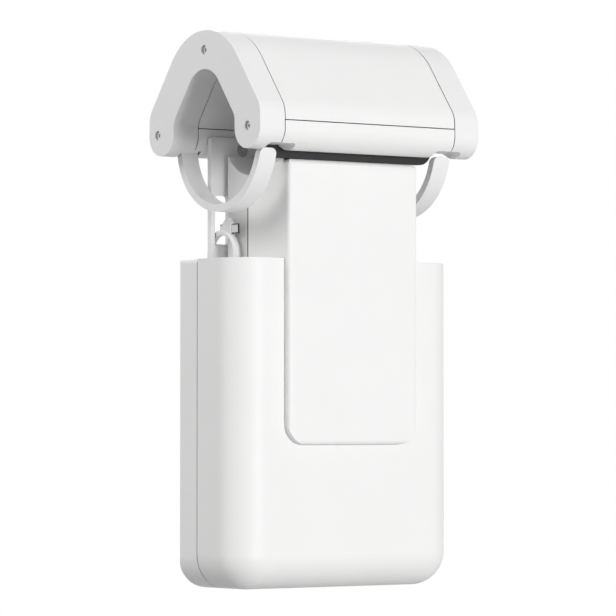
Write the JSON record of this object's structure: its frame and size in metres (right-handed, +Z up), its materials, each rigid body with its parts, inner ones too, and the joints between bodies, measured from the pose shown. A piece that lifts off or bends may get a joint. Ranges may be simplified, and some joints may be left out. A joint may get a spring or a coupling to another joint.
{
  "type": "curtain robot",
  "caption": "Motorised curtain driver: an arched saddle with safety rings clips over a curtain rod, and the body hanging below it presses a drive wheel up against the rod.",
  "frame": {"origin": "on the axis of the curtain rod, at the middle of the saddle's length", "axes": "+X along the rod, -Y the front with the long panel, +Z up"},
  "size_m": [0.0882, 0.0602, 0.1767],
  "materials": {
    "white_shell": "satin moulded",
    "white_cap": "satin moulded",
    "neck_grey": "satin moulded",
    "dark_plastic": "fine matt",
    "frame_plastic": "glass-filled",
    "rubber": "moulded",
    "steel": "bright",
    "brass": "turned",
    "gear_plastic": "acetal",
    "motor_metal": "plated",
    "cell_wrap": "shrink sleeve",
    "board": "solder mask",
    "light_guide": "clear frosted"
  },
  "bodies": {
    "body": {"front_shell": "white_shell", "rear_cover": "white_shell", "front_panel": "white_shell", "neck_shell": "neck_grey", "drive_chassis": "frame_plastic", "gearbox_case": "frame_plastic", "motor_can": "motor_metal", "idler_pin": "steel", "axle_bushes": "brass", "battery_tray": "frame_plastic", "battery_cells": "cell_wrap", "circuit_board": "board", "charge_port": "steel", "light_pipe": "light_guide", "plate_guides": "white_shell", "cover_screws": "steel", "shoulder_screws": "steel", "guide_rods": "steel", "left_spring": "steel", "right_spring": "steel"},
    "saddle": {"saddle_cover": "white_shell", "front_rail": "white_shell", "rear_rail": "white_shell", "left_end_cap": "white_cap", "right_end_cap": "white_cap", "cap_screws": "steel", "front_lip": "dark_plastic", "back_plate": "white_cap", "plate_screws": "steel", "crosshead": "frame_plastic", "crosshead_screw": "steel", "roller_axles": "steel", "ring_pins": "steel"},
    "left_ring": {"left_ring": "white_cap"},
    "right_ring": {"right_ring": "white_cap"},
    "left_hook": {"left_hook": "white_cap"},
    "right_hook": {"right_hook": "white_cap"},
    "left_roller": {"left_roller": "rubber"},
    "right_roller": {"right_roller": "rubber"},
    "drive_wheel": {"wheel_hub": "frame_plastic", "wheel_tyre": "rubber", "wheel_axle": "steel", "wheel_gear": "gear_plastic"},
    "idler_gear": {"idler_gear": "gear_plastic"},
    "output_pinion": {"output_pinion": "brass"},
    "push_button": {"push_button": "white_cap"}
  },
  "joints": [
    {"name": "saddle_lift", "type": "slide", "parent": "body", "child": "saddle", "axis": [0, 0, 1], "range_m": [0, 0.026], "stiffness_N_per_m": 300, "springref_m": -0.02, "deforming": ["left_spring", "right_spring"]},
    {"name": "left_ring_swing", "type": "hinge", "parent": "saddle", "child": "left_ring", "pos_m": [-0.0349, 0.02169, -0.004], "axis": [1, 0, 0], "range_deg": [0, 35]},
    {"name": "left_hook_swing", "type": "hinge", "parent": "saddle", "child": "left_hook", "pos_m": [-0.02745, 0.0156, -0.0366], "axis": [1, 0, 0], "range_deg": [-8, 0]},
    {"name": "left_roller_turn", "type": "hinge", "parent": "saddle", "child": "left_roller", "pos_m": [-0.021, 0, 0.01825], "axis": [0, 1, 0], "continuous": true},
    {"name": "right_ring_swing", "type": "hinge", "parent": "saddle", "child": "right_ring", "pos_m": [0.0349, 0.02169, -0.004], "axis": [1, 0, 0], "range_deg": [0, 35]},
    {"name": "right_hook_swing", "type": "hinge", "parent": "saddle", "child": "right_hook", "pos_m": [0.02745, 0.0156, -0.0366], "axis": [1, 0, 0], "range_deg": [-8, 0]},
    {"name": "right_roller_turn", "type": "hinge", "parent": "saddle", "child": "right_roller", "pos_m": [0.021, 0, 0.01825], "axis": [0, 1, 0], "continuous": true},
    {"name": "wheel_turn", "type": "hinge", "parent": "body", "child": "drive_wheel", "pos_m": [0, 0, -0.02355], "axis": [0, 1, 0], "continuous": true},
    {"name": "idler_turn", "type": "hinge", "parent": "body", "child": "idler_gear", "pos_m": [0, 0, -0.04115], "axis": [0, 1, 0], "continuous": true},
    {"name": "pinion_turn", "type": "hinge", "parent": "body", "child": "output_pinion", "pos_m": [0, 0, -0.05555], "axis": [0, 1, 0], "continuous": true},
    {"name": "button_press", "type": "slide", "parent": "body", "child": "push_button", "axis": [0, 0, 1], "range_m": [0, 0.0006], "stiffness_N_per_m": 400, "springref_m": -0.0005}
  ],
  "couplings": [
    {"joint": "idler_turn", "follows": "wheel_turn", "ratio": -0.83333},
    {"joint": "pinion_turn", "follows": "wheel_turn", "ratio": 1.6667}
  ]
}
